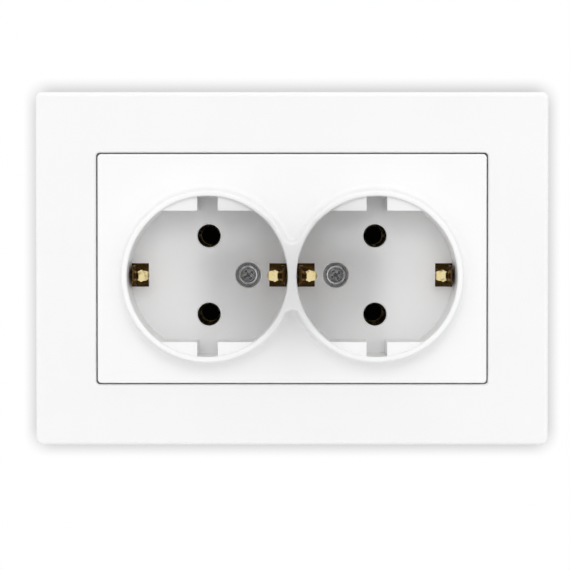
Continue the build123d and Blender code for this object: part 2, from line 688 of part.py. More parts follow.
def make_claw(name, side):
    """A spreading claw: a folded web with a toothed foot, between two cheeks."""
    with BuildPart() as claw:
        with BuildSketch(Plane.YZ):
            with Locations((-CLAW_PIVOT_HEIGHT, side * CLAW_PIVOT_Z)):
                Circle(CLAW_EYE)
            with Locations((-CLAW_LEVER, side * (CLAW_OUT - 1.5))):
                Circle(CLAW_SHEET / 2)
            make_hull()
        extrude(amount=CLAW_WIDTH / 2, both=True)
        with BuildSketch(Plane.YZ):
            with Locations((-CLAW_LEVER, side * CLAW_PIVOT_Z)):
                Rectangle(2 * CLAW_EYE + 6, 2 * CLAW_OUT)
        extrude(amount=CLAW_WIDTH / 2 - CHEEK, both=True, mode=Mode.SUBTRACT)
        with BuildSketch(Plane.YZ):
            with BuildLine():
                FilletPolyline(
                    (-CLAW_LEVER, side * (CLAW_PIVOT_Z + 3.0)),
                    (-CLAW_LEVER, side * CLAW_OUT),
                    (-CLAW_TAIL, side * CLAW_OUT),
                    (-CLAW_TAIL, side * (CLAW_OUT + CLAW_FOOT)),
                    radius=CLAW_BEND,
                )
            trace(line_width=CLAW_SHEET)
        extrude(amount=CLAW_WIDTH / 2, both=True)
        with BuildSketch(Plane.YZ):
            with Locations((-CLAW_PIVOT_HEIGHT, side * CLAW_PIVOT_Z)):
                Circle(CLAW_PIN + 0.05)
        extrude(amount=CLAW_WIDTH, both=True, mode=Mode.SUBTRACT)
        # A slot that clears the screw at every angle, and notches that leave teeth
        with BuildSketch(front(CLAW_LEVER - 2)):
            with Locations((0, side * (CLAW_SCREW_Z + 0.1))):
                Rectangle(2 * CLAW_SCREW + 0.4, CLAW_SLOT)
        extrude(amount=4, mode=Mode.SUBTRACT)
        with BuildSketch(front(CLAW_TAIL - 1)):
            for x in (-CLAW_WIDTH / 3, 0, CLAW_WIDTH / 3):
                with Locations((x, side * (CLAW_OUT + CLAW_FOOT + 0.4))):
                    Rectangle(TOOTH_NOTCH, TOOTH_NOTCH, rotation=45)
        extrude(amount=2, mode=Mode.SUBTRACT)
    save(claw.part, name)


for place, side in (("upper", 1), ("lower", -1)):
    make_claw(f"claw_{place}", side)
    make_screw(
        f"claw_screw_{place}", 0, side * CLAW_SCREW_Z, PLATE, 1.9, 2.8, CLAW_SCREW, CLAW_SCREW_TIP, False
    )
    with BuildPart() as claw_pin:
        with BuildSketch(Plane.YZ):
            with Locations((-CLAW_PIVOT_HEIGHT, side * CLAW_PIVOT_Z)):
                Circle(CLAW_PIN)
        extrude(amount=PIN_REACH, both=True)
    save(claw_pin.part, f"claw_pin_{place}")
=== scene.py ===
"""Dresses the double wall socket: finishes, screws with rolled threads, light and camera."""

from __future__ import annotations

import logging
import math
from collections.abc import Iterable
from dataclasses import dataclass, field
from enum import Enum

import bmesh
import bpy
from mathutils import Matrix, Vector


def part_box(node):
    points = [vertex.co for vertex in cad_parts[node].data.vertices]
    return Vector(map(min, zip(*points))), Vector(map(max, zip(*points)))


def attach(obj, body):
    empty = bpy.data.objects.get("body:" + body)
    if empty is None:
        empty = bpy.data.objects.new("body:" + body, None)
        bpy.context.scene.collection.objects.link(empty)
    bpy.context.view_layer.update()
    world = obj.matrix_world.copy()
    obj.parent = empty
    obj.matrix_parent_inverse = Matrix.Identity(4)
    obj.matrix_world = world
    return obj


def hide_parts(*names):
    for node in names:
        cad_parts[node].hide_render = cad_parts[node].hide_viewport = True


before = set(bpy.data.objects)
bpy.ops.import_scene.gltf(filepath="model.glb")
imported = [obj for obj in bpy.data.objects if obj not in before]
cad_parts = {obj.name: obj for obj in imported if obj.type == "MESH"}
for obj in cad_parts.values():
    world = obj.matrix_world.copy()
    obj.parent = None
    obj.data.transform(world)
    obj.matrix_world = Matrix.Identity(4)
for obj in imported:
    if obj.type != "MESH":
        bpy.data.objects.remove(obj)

log = logging.getLogger("wall_socket")

MM = 0.001
BUMP_STRENGTH = 0.5
GRAIN_SPREAD = (0.3, 0.7)
Colour = tuple[float, float, float]
Limits = tuple[float, float]


@dataclass(frozen=True)
class Recess:
    """The blades that leave a screw's recess.

    Half the length and the width are shares of the head's radius, and the foot says what is left of both below.
    """

    half_long: float
    half_wide: float
    foot: tuple[float, float]
    turns: tuple[float, ...]


class Drive(Enum):
    """The recess in a screw's head."""

    CROSS = Recess(half_long=0.7, half_wide=0.16, foot=(0.45, 0.78), turns=(0.0, math.pi / 2))
    SLOT = Recess(half_long=1.2, half_wide=0.11, foot=(1.0, 1.0), turns=(0.0,))


class Facing(Enum):
    """Where a screw's head points, as a direction along Y."""

    ROOM = -1.0
    BOX = 1.0


# Node helpers


def grey(level: float) -> tuple[float, float, float, float]:
    """Makes an opaque grey.

    Args:
        level: How light it is, from 0 to 1.

    Returns:
        Red, green, blue and alpha.
    """
    return level, level, level, 1.0


def new_material(name: str) -> tuple[bpy.types.Material, bpy.types.NodeTree, bpy.types.Node]:
    """Makes an empty node material with one Principled shader.

    Args:
        name: The material's name.

    Returns:
        The material, its node tree and its Principled node.
    """
    material = bpy.data.materials.new(name)
    material.use_nodes = True
    tree = material.node_tree
    tree.nodes.clear()
    shader = tree.nodes.new("ShaderNodeBsdfPrincipled")
    output = tree.nodes.new("ShaderNodeOutputMaterial")
    tree.links.new(shader.outputs["BSDF"], output.inputs["Surface"])
    return material, tree, shader


def mix_colours(
    tree: bpy.types.NodeTree, factor: bpy.types.NodeSocket, low: Colour, high: Colour
) -> bpy.types.NodeSocket:
    """Blends two colours by a mask.

    Args:
        tree: The tree that gets the node.
        factor: The mask, from 0 to 1.
        low: The colour where the mask is 0.
        high: The colour where the mask is 1.

    Returns:
        The blended colour.
    """
    mix = tree.nodes.new("ShaderNodeMix")
    mix.data_type = "RGBA"
    tree.links.new(factor, mix.inputs["Factor"])
    mix.inputs["A"].default_value = (*low, 1.0)
    mix.inputs["B"].default_value = (*high, 1.0)
    return mix.outputs["Result"]


def calculate(
    tree: bpy.types.NodeTree,
    operation: str,
    first: bpy.types.NodeSocket | float,
    second: bpy.types.NodeSocket | float = 0.0,
) -> bpy.types.NodeSocket:
    """Adds one Math node.

    Args:
        tree: The tree that gets the node.
        operation: The node's operation.
        first: The first value, or the socket that gives it.
        second: The second value, or the socket that gives it.

    Returns:
        The result.
    """
    node = tree.nodes.new("ShaderNodeMath")
    node.operation = operation
    for socket, value in zip(node.inputs, (first, second)):
        if isinstance(value, bpy.types.NodeSocket):
            tree.links.new(value, socket)
        else:
            socket.default_value = value
    return node.outputs["Value"]


def object_axes(tree: bpy.types.NodeTree) -> bpy.types.NodeOutputs:
    """Adds the nodes that give a point's X, Y and Z on the object.

    Args:
        tree: The tree that gets the nodes.

    Returns:
        The outputs X, Y and Z.
    """
    place = tree.nodes.new("ShaderNodeTexCoord")
    axes = tree.nodes.new("ShaderNodeSeparateXYZ")
    tree.links.new(place.outputs["Object"], axes.inputs["Vector"])
    return axes.outputs


def map_range(
    tree: bpy.types.NodeTree, value: bpy.types.NodeSocket, source: Limits, target: Limits
) -> bpy.types.NodeSocket:
    """Rescales a value from one range to another, and clamps it.

    Args:
        tree: The tree that gets the node.
        value: The value to rescale.
        source: The range that the value has.
        target: The range that it gets.

    Returns:
        The rescaled value.
    """
    node = tree.nodes.new("ShaderNodeMapRange")
    tree.links.new(value, node.inputs["Value"])
    for socket, number in zip(("From Min", "From Max", "To Min", "To Max"), (*source, *target)):
        node.inputs[socket].default_value = number
    return node.outputs["Result"]


def surface_group() -> bpy.types.NodeTree:
    """Builds the effect that every finish shares: slow patches and a fine grain.

    Returns:
        The group, with the inputs Patch Scale, Grain Scale and Stretch, and the outputs Patches and Grain.
    """
    group = bpy.data.node_groups.new("surface_grain", "ShaderNodeTree")
    for name in ("Patch Scale", "Grain Scale"):
        group.interface.new_socket(name, in_out="INPUT", socket_type="NodeSocketFloat")
    stretch = group.interface.new_socket("Stretch", in_out="INPUT", socket_type="NodeSocketVector")
    stretch.default_value = (1.0, 1.0, 1.0)
    for name in ("Patches", "Grain"):
        group.interface.new_socket(name, in_out="OUTPUT", socket_type="NodeSocketFloat")
    nodes, links = group.nodes, group.links
    inputs = nodes.new("NodeGroupInput")
    outputs = nodes.new("NodeGroupOutput")
    place = nodes.new("ShaderNodeTexCoord")
    stretched = nodes.new("ShaderNodeMapping")
    links.new(place.outputs["Object"], stretched.inputs["Vector"])
    links.new(inputs.outputs["Stretch"], stretched.inputs["Scale"])
    for name, scale, vector, detail in (
        ("Patches", "Patch Scale", place.outputs["Object"], 3.0),
        ("Grain", "Grain Scale", stretched.outputs["Vector"], 4.0),
    ):
        noise = nodes.new("ShaderNodeTexNoise")
        noise.inputs["Detail"].default_value = detail
        links.new(vector, noise.inputs["Vector"])
        links.new(inputs.outputs[scale], noise.inputs["Scale"])
        links.new(noise.outputs["Fac"], outputs.inputs[name])
    return group


def add_grain(
    tree: bpy.types.NodeTree, shader: bpy.types.Node, group: bpy.types.NodeTree, values: dict[str, object], bump: float
) -> bpy.types.Node:
    """Places the shared grain in a material and bumps the surface with it.

    Args:
        tree: The material's tree.
        shader: The material's Principled node.
        group: The shared grain group.
        values: The group's input values by name.
        bump: The bump distance in metres.

    Returns:
        The group node, whose masks colour the surface.
    """
    grain = tree.nodes.new("ShaderNodeGroup")
    grain.node_tree = group
    for name, value in values.items():
        grain.inputs[name].default_value = value
    lift = tree.nodes.new("ShaderNodeBump")
    lift.inputs["Distance"].default_value = bump
    lift.inputs["Strength"].default_value = BUMP_STRENGTH
    tree.links.new(grain.outputs["Grain"], lift.inputs["Height"])
    tree.links.new(lift.outputs["Normal"], shader.inputs["Normal"])
    return grain


# Finishes


@dataclass(frozen=True)
class MouldedPlastic:
    """A moulded plastic: an even colour, a faint flow pattern and a fine skin."""

    name: str
    colour: Colour
    flow_colour: Colour
    roughness: Limits
    skin_scale: float
    skin_depth: float
    coat: float = 0.0
    coat_roughness: float = 0.12
    flow_scale: float = 45.0
    flow_range: Limits = (0.35, 0.65)
    refraction: float = 1.5

    def build(self, group: bpy.types.NodeTree) -> bpy.types.Material:
        """Makes the material.

        Args:
            group: The shared grain group.

        Returns:
            The material.
        """
        material, tree, shader = new_material(self.name)
        values = {"Patch Scale": self.flow_scale, "Grain Scale": self.skin_scale}
        grain = add_grain(tree, shader, group, values, self.skin_depth)
        mask = map_range(tree, grain.outputs["Patches"], self.flow_range, (0.0, 1.0))
        tree.links.new(mix_colours(tree, mask, self.colour, self.flow_colour), shader.inputs["Base Color"])
        rough = map_range(tree, grain.outputs["Grain"], GRAIN_SPREAD, self.roughness)
        tree.links.new(rough, shader.inputs["Roughness"])
        shader.inputs["IOR"].default_value = self.refraction
        shader.inputs["Coat Weight"].default_value = self.coat
        shader.inputs["Coat Roughness"].default_value = self.coat_roughness
        return material


@dataclass(frozen=True)
class PaintedClipShade:
    """Painted shade on the clips: the deep metal towards the box and what stands further from a well's middle than the
    noses.
    """

    painted_shade_depth: Limits
    well_x: float
    painted_shade_reach: Limits

    def tarnish_and_painted_shade_mask(self, tree: bpy.types.NodeTree, patches: bpy.types.NodeSocket) -> bpy.types.NodeSocket:
        """Masks the painted shade: the deep metal and what stands further from a well's middle than the noses.

        Args:
            tree: The material's tree.
            patches: The mask of the tarnish patches, which the result holds as well.

        Returns:
            The mask of the tarnish patches and the painted shade.
        """
        axes = object_axes(tree)
        from_well = calculate(tree, "SUBTRACT", calculate(tree, "ABSOLUTE", axes["X"]), self.well_x)
        reach = calculate(tree, "ABSOLUTE", from_well)
        # Painted shade: darker towards the box and beyond the noses, joined with the real tarnish patches.
        mask = patches
        for value, limits in ((axes["Y"], self.painted_shade_depth), (reach, self.painted_shade_reach)):
            mask = calculate(tree, "MAXIMUM", map_range(tree, value, limits, (0.0, 1.0)), mask)
        return mask


@dataclass(frozen=True)
class RolledMetal:
    """A rolled or turned metal: a bright colour, a tarnish in patches and a drawn grain."""

    name: str
    colour: Colour
    tarnish: Colour
    tarnish_range: Limits
    roughness: Limits
    grain_scale: float
    grain_depth: float
    patch_scale: float
    stretch: tuple[float, float, float] = (1.0, 1.0, 1.0)
    # Painted shade on deep and outer parts, for the clips only.
    painted_shade: PaintedClipShade | None = None

    def build(self, group: bpy.types.NodeTree) -> bpy.types.Material:
        """Makes the material.

        Args:
            group: The shared grain group.

        Returns:
            The material.
        """
        material, tree, shader = new_material(self.name)
        values = {"Patch Scale": self.patch_scale, "Grain Scale": self.grain_scale, "Stretch": self.stretch}
        grain = add_grain(tree, shader, group, values, self.grain_depth)
        mask = map_range(tree, grain.outputs["Patches"], self.tarnish_range, (0.0, 1.0))
        # On the clips the tarnish mask also takes painted shade, drawn in the tarnish colour.
        if self.painted_shade:
            mask = self.painted_shade.tarnish_and_painted_shade_mask(tree, mask)
        tree.links.new(mix_colours(tree, mask, self.colour, self.tarnish), shader.inputs["Base Color"])
        rough = map_range(tree, grain.outputs["Grain"], GRAIN_SPREAD, self.roughness)
        tree.links.new(rough, shader.inputs["Roughness"])
        shader.inputs["Metallic"].default_value = 1.0
        return material


WHITE = MouldedPlastic(
    "white_gloss_plastic", colour=(0.925, 0.925, 0.925), flow_colour=(0.915, 0.913, 0.913), roughness=(0.28, 0.32),
    skin_scale=700.0, skin_depth=0.0001 * MM, coat=0.1,
)
COVER_WHITE = MouldedPlastic(
    "cover_gloss_plastic", colour=(0.945, 0.945, 0.945), flow_colour=(0.935, 0.933, 0.933), roughness=(0.31, 0.35),
    skin_scale=700.0, skin_depth=0.0001 * MM, coat=0.1,
)
BLACK = MouldedPlastic(
    "black_thermoset", colour=(0.01, 0.01, 0.011), flow_colour=(0.017, 0.016, 0.015), roughness=(0.42, 0.62),
    skin_scale=2400.0, skin_depth=0.003 * MM,
)
BRASS = RolledMetal(
    "spring_brass", colour=(0.8, 0.66, 0.36), tarnish=(0.5, 0.34, 0.13), tarnish_range=(0.46, 0.66),
    roughness=(0.18, 0.34), grain_scale=1500.0, grain_depth=0.0015 * MM, patch_scale=420.0, stretch=(0.2, 1.0, 1.0),
)
# The clip brass's tarnish colour is both real tarnish in patches and painted shade on the deep metal and beyond the
# noses.
CLIP_BRASS = RolledMetal(
    "clip_brass_tarnish_and_painted_shade", colour=(0.8, 0.67, 0.36), tarnish=(0.24, 0.14, 0.045), tarnish_range=(0.5, 0.8),
    roughness=(0.14, 0.3), grain_scale=1500.0, grain_depth=0.0015 * MM, patch_scale=500.0, stretch=(0.2, 1.0, 1.0),
    painted_shade=PaintedClipShade(
        painted_shade_depth=(-11.5 * MM, -7.0 * MM), well_x=20.1 * MM, painted_shade_reach=(16.4 * MM, 17.4 * MM)
    ),
)
ZINC = RolledMetal(
    "zinc_plated_sheet", colour=(0.64, 0.65, 0.66), tarnish=(0.57, 0.58, 0.58), tarnish_range=(0.35, 0.7),
    roughness=(0.3, 0.44), grain_scale=1200.0, grain_depth=0.001 * MM, patch_scale=420.0, stretch=(0.15, 1.0, 1.0),
)
SCREW_STEEL = RolledMetal(
    "screw_steel", colour=(0.64, 0.64, 0.65), tarnish=(0.34, 0.34, 0.35), tarnish_range=(0.4, 0.75),
    roughness=(0.18, 0.28), grain_scale=2600.0, grain_depth=0.0006 * MM, patch_scale=900.0,
)


@dataclass
class Finishes:
    """Every material of the socket, built once from one grain group."""

    group: bpy.types.NodeTree = field(default_factory=surface_group)
    made: dict[str, bpy.types.Material] = field(default_factory=dict)

    def get(self, finish: MouldedPlastic | RolledMetal) -> bpy.types.Material:
        """Builds a finish the first time that a piece asks for it.

        Args:
            finish: The finish that a piece wears.

        Returns:
            The finish's material.
        """
        if finish.name not in self.made:
            self.made[finish.name] = finish.build(self.group)
        return self.made[finish.name]

    def dress(self, node: str, finish: MouldedPlastic | RolledMetal) -> None:
        """Gives a node that stays as it is its finish.

        Args:
            node: The node's name.
            finish: The finish that it wears.
        """
        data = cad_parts[node].data
        data.materials.clear()
        data.materials.append(self.get(finish))
        log.info("%s wears %s", node, finish.name)


# Mesh helpers


def lathe(profile: list[tuple[float, float]], segments: int) -> bmesh.types.BMesh:
    """Turns an outline round the Z axis into a closed solid.

    Args:
        profile: Radius and height of each point in metres, from the top of the axis to its bottom.
        segments: The number of sides.

    Returns:
        The solid, with outward faces.
    """
    shape = bmesh.new()
    rings: list[list[bmesh.types.BMVert]] = []
    for radius, height in profile:
        if radius == 0.0:
            rings.append([shape.verts.new((0.0, 0.0, height))])
            continue
        turns = [2 * math.pi * step / segments for step in range(segments)]
        rings.append([shape.verts.new((radius * math.cos(a), radius * math.sin(a), height)) for a in turns])
    for upper, lower in zip(rings, rings[1:]):
        for step in range(segments):
            after = (step + 1) % segments
            face = [upper[step % len(upper)], lower[step % len(lower)]]
            face += [lower[after % len(lower)], upper[after % len(upper)]]
            shape.faces.new(dict.fromkeys(face))
    bmesh.ops.recalc_face_normals(shape, faces=shape.faces)
    return shape


def finished_object(name: str, shape: bmesh.types.BMesh) -> bpy.types.Object:
    """Puts a shape in the scene as an object at the origin.

    Args:
        name: The object's name.
        shape: The shape, which is freed.

    Returns:
        The object.
    """
    mesh = bpy.data.meshes.new(name)
    shape.to_mesh(mesh)
    shape.free()
    made = bpy.data.objects.new(name, mesh)
    bpy.context.scene.collection.objects.link(made)
    return made


def apply_modifiers(made: bpy.types.Object) -> None:
    """Turns an object's evaluated form into its plain mesh and removes the modifiers.

    Args:
        made: The object.
    """
    bpy.context.view_layer.update()
    graph = bpy.context.evaluated_depsgraph_get()
    plain = bpy.data.meshes.new_from_object(made.evaluated_get(graph))
    made.modifiers.clear()
    made.data = plain


def shade(made: bpy.types.Object, degrees: float) -> None:
    """Shades an object smooth, with sharp edges past an angle.

    Args:
        made: The object.
        degrees: The angle.
    """
    made.data.shade_smooth()
    made.data.set_sharp_from_angle(angle=math.radians(degrees))


def set_inputs(modifier: bpy.types.NodesModifier, values: dict[str, object]) -> None:
    """Sets a Geometry Nodes modifier's inputs, each by its socket's identifier.

    Args:
        modifier: The modifier.
        values: The inputs' values by name.
    """
    for item in modifier.node_group.interface.items_tree:
        if item.in_out == "INPUT" and item.name in values:
            modifier[item.identifier] = values[item.name]


# Screws

HEAD_SIDES = 64
HEAD_CHAMFER = (0.1 * MM, 0.12 * MM)
# How deep a recess is, and how far up its cutter reaches, in head heights.
RECESS_DEPTH = 0.62
RECESS_TOP = 1.2
EDGE_WIDTH = 0.035 * MM
EDGE_ANGLE = 40.0
SMOOTH_ANGLE = 35.0
HEAD_TURN = 0.6
NECK_SHARE = 0.98
NECK_LENGTH = 0.35 * MM
TIP_SHARE = 0.6
TIP_LENGTH = 0.5 * MM
THREAD_STEPS = 28
THREAD_DEPTH = 0.28 * MM
THREAD_SINK = 0.02 * MM
THREAD_DROP = 1.05
THREAD_ENDS = 0.6 * MM
CREST_SHARE = 0.42
# A dished head's floor: the share of the head's radius, and the rise above the floor in millimetres.
DISH_FLOOR = ((0.0, 0.0), (0.76, 0.0), (0.8, 0.02))
# Its rim: the share of the head's radius, and the drop below the head's top in millimetres.
DISH_RIM = ((0.86, 0.02), (0.88, 0.0), (0.9, 0.0), (0.94, 0.05), (0.97, 0.12), (0.99, 0.25), (1.0, 0.6))
# A domed head: its arc in degrees and the share of the radius that it takes, then the shoulder's points, each
# with the share of the radius and the drop in crowns.
DOME_ARC = range(10, 90, 10)
DOME_SHARE = 0.86
DOME_SHOULDER = ((0.93, 1.15), (0.985, 1.6), (1.0, 2.1))


def thread_tree() -> bpy.types.NodeTree:
    """Builds the Geometry Nodes tree that winds a thread round a screw's core.

    Returns:
        The tree, with the inputs Core Radius, Pitch, Length, Depth and Finish.
    """
    tree = bpy.data.node_groups.new("rolled_thread", "GeometryNodeTree")
    tree.interface.new_socket("Geometry", in_out="INPUT", socket_type="NodeSocketGeometry")
    for name in ("Core Radius", "Pitch", "Length", "Depth"):
        tree.interface.new_socket(name, in_out="INPUT", socket_type="NodeSocketFloat")
    tree.interface.new_socket("Finish", in_out="INPUT", socket_type="NodeSocketMaterial")
    tree.interface.new_socket("Geometry", in_out="OUTPUT", socket_type="NodeSocketGeometry")
    nodes, links = tree.nodes, tree.links
    sizes = nodes.new("NodeGroupInput").outputs
    spiral = nodes.new("GeometryNodeCurveSpiral")
    spiral.inputs["Resolution"].default_value = THREAD_STEPS
    links.new(calculate(tree, "DIVIDE", sizes["Length"], sizes["Pitch"]), spiral.inputs["Rotations"])
    links.new(sizes["Core Radius"], spiral.inputs["Start Radius"])
    links.new(sizes["Core Radius"], spiral.inputs["End Radius"])
    links.new(sizes["Length"], spiral.inputs["Height"])
    upright = nodes.new("GeometryNodeSetCurveNormal")
    upright.mode = "Z_UP"
    links.new(spiral.outputs["Curve"], upright.inputs["Curve"])
    crest = nodes.new("GeometryNodeCurvePrimitiveQuadrilateral")
    crest.mode = "KITE"
    half_crest = calculate(tree, "MULTIPLY", sizes["Pitch"], CREST_SHARE)
    links.new(calculate(tree, "MULTIPLY", sizes["Depth"], 2.0), crest.inputs["Width"])
    links.new(half_crest, crest.inputs["Bottom Height"])
    links.new(half_crest, crest.inputs["Top Height"])
    ridge = nodes.new("GeometryNodeCurveToMesh")
    ridge.inputs["Fill Caps"].default_value = True
    links.new(upright.outputs["Curve"], ridge.inputs["Curve"])
    links.new(crest.outputs["Curve"], ridge.inputs["Profile Curve"])
    place = nodes.new("ShaderNodeCombineXYZ")
    links.new(calculate(tree, "MULTIPLY", sizes["Length"], -THREAD_DROP), place.inputs["Z"])
    lowered = nodes.new("GeometryNodeTransform")
    links.new(ridge.outputs["Mesh"], lowered.inputs["Geometry"])
    links.new(place.outputs["Vector"], lowered.inputs["Translation"])
    join = nodes.new("GeometryNodeJoinGeometry")
    links.new(lowered.outputs["Geometry"], join.inputs["Geometry"])
    links.new(sizes["Geometry"], join.inputs["Geometry"])
    real = nodes.new("GeometryNodeRealizeInstances")
    links.new(join.outputs["Geometry"], real.inputs["Geometry"])
    coat = nodes.new("GeometryNodeSetMaterial")
    links.new(real.outputs["Geometry"], coat.inputs["Geometry"])
    links.new(sizes["Finish"], coat.inputs["Material"])
    links.new(coat.outputs["Geometry"], nodes.new("NodeGroupOutput").inputs["Geometry"])
    return tree


@dataclass(frozen=True)
class ScrewSize:
    """A screw's sizes in millimetres: its head, its core, its thread, and how its head is domed or dished."""

    head_radius: float
    head_height: float
    radius: float
    pitch: float
    crown: float = 0.35
    dish: float = 0.0


@dataclass
class Screw:
    """One screw that stands for a plain node: a turned head with a recess, a core and a thread."""

    node: str
    body: str
    size: ScrewSize
    drive: Drive
    facing: Facing
    slot: str = "zinc_steel"

    def top_profile(self) -> list[tuple[float, float]]:
        """The outline of the head's top, from its middle to its side.

        Returns:
            Radius and height of each point in metres.
        """
        r, h, c = self.size.head_radius * MM, self.size.head_height * MM, self.size.crown * MM
        if self.size.dish:
            floor = h - self.size.dish * MM
            inner = [(r * share, floor + rise * MM) for share, rise in DISH_FLOOR]
            return inner + [(r * share, h - drop * MM) for share, drop in DISH_RIM]
        arc = [math.radians(degrees) for degrees in DOME_ARC]
        dome = [(r * DOME_SHARE * math.sin(turn), h - c + c * math.cos(turn)) for turn in arc]
        return [(0.0, h), *dome, *((r * share, h - drop * c) for share, drop in DOME_SHOULDER)]

    def profile(self, length: float) -> list[tuple[float, float]]:
        """The outline from the middle of the head's top round the head and down the core to the tip.

        Args:
            length: How far the screw reaches below its head, in metres.

        Returns:
            Radius and height of each point in metres.
        """
        r, shank = self.size.head_radius * MM, self.size.radius * MM
        core = shank - THREAD_DEPTH
        inwards, upwards = HEAD_CHAMFER
        return [
            *self.top_profile(),
            (r, upwards), (r - inwards, 0.0), (shank * NECK_SHARE, 0.0), (core, -NECK_LENGTH),
            (core, -length + TIP_LENGTH), (core * TIP_SHARE, -length), (0.0, -length),
        ]

    def cutter(self) -> bpy.types.Object:
        """The solid that leaves the recess: one tapered blade for a slot, two for a cross.

        Returns:
            The cutter.
        """
        shape = bmesh.new()
        recess = self.drive.value
        radius, height = self.size.head_radius * MM, self.size.head_height * MM
        for turn in recess.turns:
            blade = bmesh.ops.create_cube(shape, size=2.0)["verts"]
            for vert in blade:
                above = vert.co.z > 0
                along, across = (1.0, 1.0) if above else recess.foot
                x = vert.co.x * radius * recess.half_long * along
                y = vert.co.y * radius * recess.half_wide * across
                vert.co = Vector((x, y, height * (RECESS_TOP if above else 1.0 - RECESS_DEPTH)))
            bmesh.ops.rotate(shape, verts=blade, matrix=Matrix.Rotation(turn, 3, "Z"))
        return finished_object(f"{self.node}_cutter", shape)

    def turn_head(self, length: float) -> bpy.types.Object:
        """Turns the screw without its thread and cuts its recess.

        Args:
            length: How far the screw reaches below its head, in metres.

        Returns:
            The screw, upright at the origin.
        """
        screw = finished_object(f"{self.node}_dressed", lathe(self.profile(length), HEAD_SIDES))
        cutter = self.cutter()
        cut = screw.modifiers.new("recess", "BOOLEAN")
        cut.operation = "DIFFERENCE"
        cut.solver = "EXACT"
        cut.use_self = True
        cut.object = cutter
        apply_modifiers(screw)
        bpy.data.objects.remove(cutter)
        return screw

    def build(self, finishes: Finishes, thread: bpy.types.NodeTree) -> None:
        """Makes the screw where its node stands.

        Args:
            finishes: The socket's materials.
            thread: The tree that winds the thread.
        """
        low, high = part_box(self.node)
        head = self.size.head_height * MM
        length = high[1] - low[1] - head
        screw = self.turn_head(length)
        edge = screw.modifiers.new("edge", "BEVEL")
        edge.width = EDGE_WIDTH
        edge.segments = 2
        edge.limit_method = "ANGLE"
        edge.angle_limit = math.radians(EDGE_ANGLE)
        winding = screw.modifiers.new("thread", "NODES")
        winding.node_group = thread
        set_inputs(winding, {
            "Core Radius": self.size.radius * MM - THREAD_DEPTH - THREAD_SINK,
            "Pitch": self.size.pitch * MM,
            "Length": (length - THREAD_ENDS) / THREAD_DROP,
            "Depth": THREAD_DEPTH,
            "Finish": finishes.get(SCREW_STEEL),
        })
        apply_modifiers(screw)
        shade(screw, SMOOTH_ANGLE)
        outwards = self.facing.value
        seat = (low[1] if self.facing is Facing.ROOM else high[1]) - outwards * head
        place = Matrix.Translation(((low[0] + high[0]) / 2, seat, (low[2] + high[2]) / 2))
        tilt = Matrix.Rotation(math.radians(-90 * outwards), 4, "X")
        screw.data.transform(place @ tilt @ Matrix.Rotation(HEAD_TURN, 4, "Z"))
        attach(screw, self.body)
        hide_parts(self.node)
        log.info("%s has %d faces", screw.name, len(screw.data.polygons))


@dataclass
class Fasteners:
    """Every screw of the socket, with the sizes that its node has."""

    cover: ScrewSize = ScrewSize(head_radius=2.45, head_height=1.7, radius=1.5, pitch=0.5, dish=0.14)
    rear: ScrewSize = ScrewSize(head_radius=2.2, head_height=1.3, radius=1.25, pitch=0.45)
    claw: ScrewSize = ScrewSize(head_radius=2.8, head_height=1.9, radius=1.5, pitch=0.5)
    terminal: ScrewSize = ScrewSize(head_radius=3.0, head_height=2.2, radius=1.75, pitch=0.6)

    def screws(self) -> list[Screw]:
        """The screws in the order that a fitter meets them.

        Returns:
            The screws, not yet built.
        """
        made = []
        for side in ("left", "right"):
            made.append(Screw(f"cover_screw_{side}", "socket", self.cover, Drive.CROSS, Facing.ROOM))
            made.append(Screw(f"rear_cover_screw_{side}", "socket", self.rear, Drive.CROSS, Facing.BOX))
        for name in ("claw_screw_upper", "claw_screw_lower"):
            made.append(Screw(name, name, self.claw, Drive.SLOT, Facing.ROOM))
        for name in ("terminal_screw_live", "terminal_screw_earth", "terminal_screw_neutral"):
            made.append(Screw(name, name, self.terminal, Drive.SLOT, Facing.BOX))
        return made

    def build(self, finishes: Finishes) -> None:
        """Makes every screw.

        Args:
            finishes: The socket's materials.
        """
        thread = thread_tree()
        for screw in self.screws():
            screw.build(finishes, thread)


@dataclass
class Mouldings:
    """The white and black plastic pieces, kept as they are and given their finishes."""

    worn: dict[str, MouldedPlastic] = field(default_factory=lambda: {
        "cover_frame": WHITE, "socket_cover": COVER_WHITE, "base": BLACK, "rear_cover": BLACK,
    })

    def dress(self, finishes: Finishes) -> None:
        """Gives each moulding its plastic."""
        for name, finish in self.worn.items():
            finishes.dress(name, finish)


@dataclass
class Metalwork:
    """The sheet-metal and turned pieces that stay as they are."""

    brass_words: tuple[str, ...] = ("busbar", "earth_rivet", "clamp_nut")
    clips: tuple[str, ...] = ("earth_strap", "earth_centre_clip")

    def dress(self, finishes: Finishes, plastic: Iterable[str]) -> None:
        """Gives each metal node brass or zinc-plated steel by what it is.

        Args:
            finishes: The socket's materials.
            plastic: The nodes that are plastic.
        """
        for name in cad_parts:
            if name in plastic:
                continue
            brass = any(word in name for word in self.brass_words)
            finishes.dress(name, CLIP_BRASS if name in self.clips else BRASS if brass else ZINC)


# Studio


@dataclass(frozen=True)
class Flag:
    """A dark card that shades part of the wells from the soft light."""

    name: str
    x: float
    z: float
    distance: float
    half_width: float
    half_height: float


FLAGS = (
    Flag("studio_flag_left", x=-13.5 * MM, z=2.0 * MM, distance=23.5 * MM, half_width=7.5 * MM, half_height=9.5 * MM),
    Flag("studio_flag_right", x=13.5 * MM, z=2.0 * MM, distance=23.5 * MM, half_width=7.5 * MM, half_height=9.5 * MM),
    Flag("studio_flag_middle", x=0.0, z=2.0 * MM, distance=50.0 * MM, half_width=7.0 * MM, half_height=11.0 * MM),
)


def upright_sheet(y: float, x: Limits, z: Limits) -> list[tuple[float, float, float]]:
    """The corners of an upright sheet.

    Args:
        y: Where the sheet stands.
        x: Its left and right edges.
        z: Its lower and upper edges.

    Returns:
        The four corners.
    """
    return [(x[0], y, z[0]), (x[1], y, z[0]), (x[1], y, z[1]), (x[0], y, z[1])]


